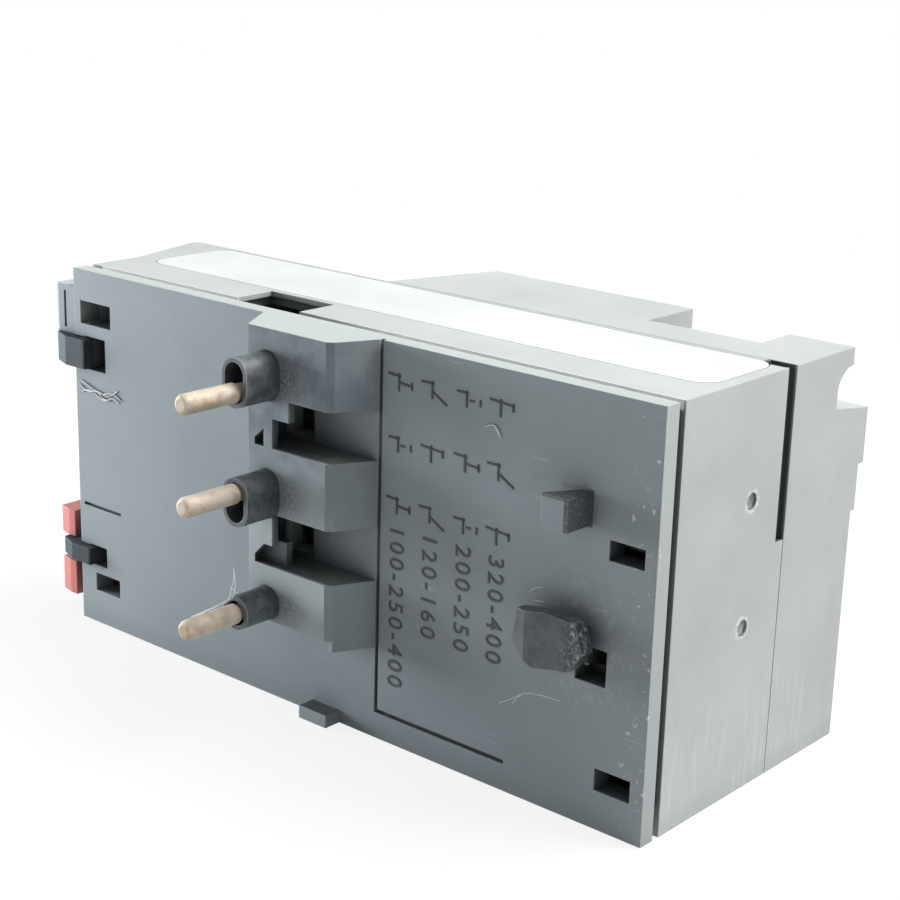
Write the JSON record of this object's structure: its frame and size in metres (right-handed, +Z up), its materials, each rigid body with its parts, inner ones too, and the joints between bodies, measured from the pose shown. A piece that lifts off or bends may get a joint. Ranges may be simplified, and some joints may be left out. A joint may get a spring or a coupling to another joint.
{
  "type": "thermal overload relay",
  "caption": "Plug-on thermal overload relay lying on its side: pin face with sleeved connecting pins, hollow bosses, latch hook, push buttons, setting dial and screw terminals.",
  "frame": {"origin": "middle of the resting side, at the bottom of the bounding box", "axes": "+X towards the rear end away from the buttons, +Y from the pin face towards the cable terminals, +Z up through the 45 mm width"},
  "size_m": [0.0914, 0.0556, 0.045],
  "materials": {
    "housing_plastic": "fine satin",
    "dark_plastic": "satin",
    "label_film": "satin film",
    "clear_plastic": "clear",
    "red_plastic": "satin",
    "pale_plastic": "satin",
    "blue_plastic": "satin",
    "signal_plastic": "satin",
    "tinned_copper": "dull tinned",
    "contact_metal": "bright",
    "bimetal": "rolled",
    "heater_wire": "oxidised",
    "steel": "zinc plated"
  },
  "bodies": {
    "housing": {"main_case": "housing_plastic", "pin_plate": "housing_plastic", "terminal_block": "housing_plastic", "terminal_module": "housing_plastic", "latch_hook": "dark_plastic", "front_fascia": "housing_plastic", "side_label": "label_film", "pin_1": "tinned_copper", "sleeve_1": "dark_plastic", "heater_1": "heater_wire", "terminal_bar_1": "contact_metal", "sleeve_2": "dark_plastic", "heater_2": "heater_wire", "terminal_bar_2": "contact_metal", "sleeve_3": "dark_plastic", "heater_3": "heater_wire", "terminal_bar_3": "contact_metal", "aux_bar_1": "contact_metal", "aux_bar_2": "contact_metal", "aux_bar_3": "contact_metal", "aux_bar_4": "contact_metal"},
    "middle_pin": {"pin_2": "tinned_copper"},
    "upper_pin": {"pin_3": "tinned_copper"},
    "stop_button": {"stop_button": "red_plastic"},
    "test_button": {"test_button": "red_plastic"},
    "reset_plunger": {"reset_plunger": "dark_plastic"},
    "reset_button": {"reset_button": "blue_plastic"},
    "setting_dial": {"setting_dial": "pale_plastic"},
    "clear_cover": {"clear_cover": "clear_plastic"},
    "trip_slider": {"trip_slider": "pale_plastic"},
    "differential_slider": {"differential_slider": "pale_plastic"},
    "bimetal_1": {"bimetal_1": "bimetal"},
    "bimetal_2": {"bimetal_2": "bimetal"},
    "bimetal_3": {"bimetal_3": "bimetal"},
    "trip_lever": {"trip_lever": "dark_plastic", "compensation_strip": "bimetal"},
    "contact_carrier": {"contact_carrier": "dark_plastic", "bridge_make": "contact_metal", "bridge_break": "contact_metal"},
    "trip_flag": {"trip_flag": "signal_plastic"},
    "power_cage_1": {"power_cage_1": "steel"},
    "power_screw_1": {"power_screw_1": "steel"},
    "power_cage_2": {"power_cage_2": "steel"},
    "power_screw_2": {"power_screw_2": "steel"},
    "power_cage_3": {"power_cage_3": "steel"},
    "power_screw_3": {"power_screw_3": "steel"},
    "aux_cage_1": {"aux_cage_1": "steel"},
    "aux_screw_1": {"aux_screw_1": "steel"},
    "aux_cage_2": {"aux_cage_2": "steel"},
    "aux_screw_2": {"aux_screw_2": "steel"},
    "aux_cage_3": {"aux_cage_3": "steel"},
    "aux_screw_3": {"aux_screw_3": "steel"},
    "aux_cage_4": {"aux_cage_4": "steel"},
    "aux_screw_4": {"aux_screw_4": "steel"}
  },
  "joints": [
    {"name": "middle_pin_float", "type": "slide", "parent": "housing", "child": "middle_pin", "axis": [0, 0, 1], "range_m": [-0.0021, 0]},
    {"name": "upper_pin_float", "type": "slide", "parent": "housing", "child": "upper_pin", "axis": [0, 0, 1], "range_m": [0, 0.0021]},
    {"name": "stop_press", "type": "slide", "parent": "housing", "child": "stop_button", "axis": [1, 0, 0], "range_m": [0, 0.0014], "stiffness_N_per_m": 150, "springref_m": -0.001},
    {"name": "test_press", "type": "slide", "parent": "housing", "child": "test_button", "axis": [1, 0, 0], "range_m": [0, 0.0012], "stiffness_N_per_m": 100, "springref_m": -0.001},
    {"name": "reset_press", "type": "slide", "parent": "housing", "child": "reset_plunger", "axis": [1, 0, 0], "range_m": [0, 0.0018], "stiffness_N_per_m": 150, "springref_m": -0.001},
    {"name": "reset_turn", "type": "hinge", "parent": "reset_plunger", "child": "reset_button", "pos_m": [-0.0428, -0.0022, 0.04], "axis": [1, 0, 0], "range_deg": [0, 90]},
    {"name": "dial_turn", "type": "hinge", "parent": "housing", "child": "setting_dial", "pos_m": [-0.04165, -0.0025, 0.0224], "axis": [1, 0, 0], "range_deg": [-135, 135]},
    {"name": "cover_open", "type": "hinge", "parent": "housing", "child": "clear_cover", "pos_m": [-0.04445, 0.0016, 0.024], "axis": [0, 0, -1], "range_deg": [0, 110]},
    {"name": "trip_travel", "type": "slide", "parent": "housing", "child": "trip_slider", "axis": [0, 0, 1], "range_m": [0, 0.0016], "stiffness_N_per_m": 60, "springref_m": -0.001},
    {"name": "differential_travel", "type": "slide", "parent": "housing", "child": "differential_slider", "axis": [0, 0, 1], "range_m": [0, 0.0017]},
    {"name": "bimetal_1_bend", "type": "hinge", "parent": "housing", "child": "bimetal_1", "pos_m": [0.03525, 0.0047, 0.0082], "axis": [0, 1, 0], "range_deg": [0, 3]},
    {"name": "bimetal_2_bend", "type": "hinge", "parent": "housing", "child": "bimetal_2", "pos_m": [0.03525, 0.0047, 0.0225], "axis": [0, 1, 0], "range_deg": [0, 3]},
    {"name": "bimetal_3_bend", "type": "hinge", "parent": "housing", "child": "bimetal_3", "pos_m": [0.03525, 0.0047, 0.0368], "axis": [0, 1, 0], "range_deg": [0, 3]},
    {"name": "trip_lever_turn", "type": "hinge", "parent": "housing", "child": "trip_lever", "pos_m": [-0.02025, -0.0014, 0.024], "axis": [0, -1, 0], "range_deg": [0, 8.2]},
    {"name": "contact_shift", "type": "slide", "parent": "housing", "child": "contact_carrier", "axis": [-1, 0, 0], "range_m": [0, 0.00106]},
    {"name": "flag_shift", "type": "slide", "parent": "housing", "child": "trip_flag", "axis": [0, 0, 1], "range_m": [0, 0.00245]},
    {"name": "power_cage_1_lift", "type": "slide", "parent": "housing", "child": "power_cage_1", "axis": [-1, 0, 0], "range_m": [0, 0.0028]},
    {"name": "power_screw_1_turn", "type": "hinge", "parent": "housing", "child": "power_screw_1", "pos_m": [-0.00385, 0.0197, 0.0082], "axis": [1, 0, 0], "range_deg": [0, 1444]},
    {"name": "power_cage_2_lift", "type": "slide", "parent": "housing", "child": "power_cage_2", "axis": [-1, 0, 0], "range_m": [0, 0.0028]},
    {"name": "power_screw_2_turn", "type": "hinge", "parent": "housing", "child": "power_screw_2", "pos_m": [-0.00385, 0.0197, 0.0225], "axis": [1, 0, 0], "range_deg": [0, 1444]},
    {"name": "power_cage_3_lift", "type": "slide", "parent": "housing", "child": "power_cage_3", "axis": [-1, 0, 0], "range_m": [0, 0.0028]},
    {"name": "power_screw_3_turn", "type": "hinge", "parent": "housing", "child": "power_screw_3", "pos_m": [-0.00385, 0.0197, 0.0368], "axis": [1, 0, 0], "range_deg": [0, 1444]},
    {"name": "aux_cage_1_lift", "type": "slide", "parent": "housing", "child": "aux_cage_1", "axis": [-1, 0, 0], "range_m": [0, 0.0014]},
    {"name": "aux_screw_1_turn", "type": "hinge", "parent": "housing", "child": "aux_screw_1", "pos_m": [-0.03905, 0.007, 0.0075], "axis": [1, 0, 0], "range_deg": [0, 1012]},
    {"name": "aux_cage_2_lift", "type": "slide", "parent": "housing", "child": "aux_cage_2", "axis": [-1, 0, 0], "range_m": [0, 0.0014]},
    {"name": "aux_screw_2_turn", "type": "hinge", "parent": "housing", "child": "aux_screw_2", "pos_m": [-0.03905, 0.007, 0.0175], "axis": [1, 0, 0], "range_deg": [0, 1012]},
    {"name": "aux_cage_3_lift", "type": "slide", "parent": "housing", "child": "aux_cage_3", "axis": [-1, 0, 0], "range_m": [0, 0.0014]},
    {"name": "aux_screw_3_turn", "type": "hinge", "parent": "housing", "child": "aux_screw_3", "pos_m": [-0.03905, 0.007, 0.0275], "axis": [1, 0, 0], "range_deg": [0, 1012]},
    {"name": "aux_cage_4_lift", "type": "slide", "parent": "housing", "child": "aux_cage_4", "axis": [-1, 0, 0], "range_m": [0, 0.0014]},
    {"name": "aux_screw_4_turn", "type": "hinge", "parent": "housing", "child": "aux_screw_4", "pos_m": [-0.03905, 0.007, 0.0375], "axis": [1, 0, 0], "range_deg": [0, 1012]}
  ],
  "couplings": [
    {"joint": "differential_travel", "follows": "trip_travel", "ratio": 1},
    {"joint": "bimetal_1_bend", "follows": "trip_travel", "rad_per_m": 29.586},
    {"joint": "bimetal_2_bend", "follows": "trip_travel", "rad_per_m": 29.586},
    {"joint": "bimetal_3_bend", "follows": "trip_travel", "rad_per_m": 29.586},
    {"joint": "trip_lever_turn", "follows": "trip_travel", "rad_per_m": 85.47},
    {"joint": "contact_shift", "follows": "trip_travel", "ratio": 0.65625},
    {"joint": "flag_shift", "follows": "trip_travel", "ratio": 1.5},
    {"joint": "power_screw_1_turn", "follows": "power_cage_1_lift", "rad_per_m": 8976},
    {"joint": "power_screw_2_turn", "follows": "power_cage_2_lift", "rad_per_m": 8976},
    {"joint": "power_screw_3_turn", "follows": "power_cage_3_lift", "rad_per_m": 8976},
    {"joint": "aux_screw_1_turn", "follows": "aux_cage_1_lift", "rad_per_m": 12566},
    {"joint": "aux_screw_2_turn", "follows": "aux_cage_2_lift", "rad_per_m": 12566},
    {"joint": "aux_screw_3_turn", "follows": "aux_cage_3_lift", "rad_per_m": 12566},
    {"joint": "aux_screw_4_turn", "follows": "aux_cage_4_lift", "rad_per_m": 12566}
  ]
}
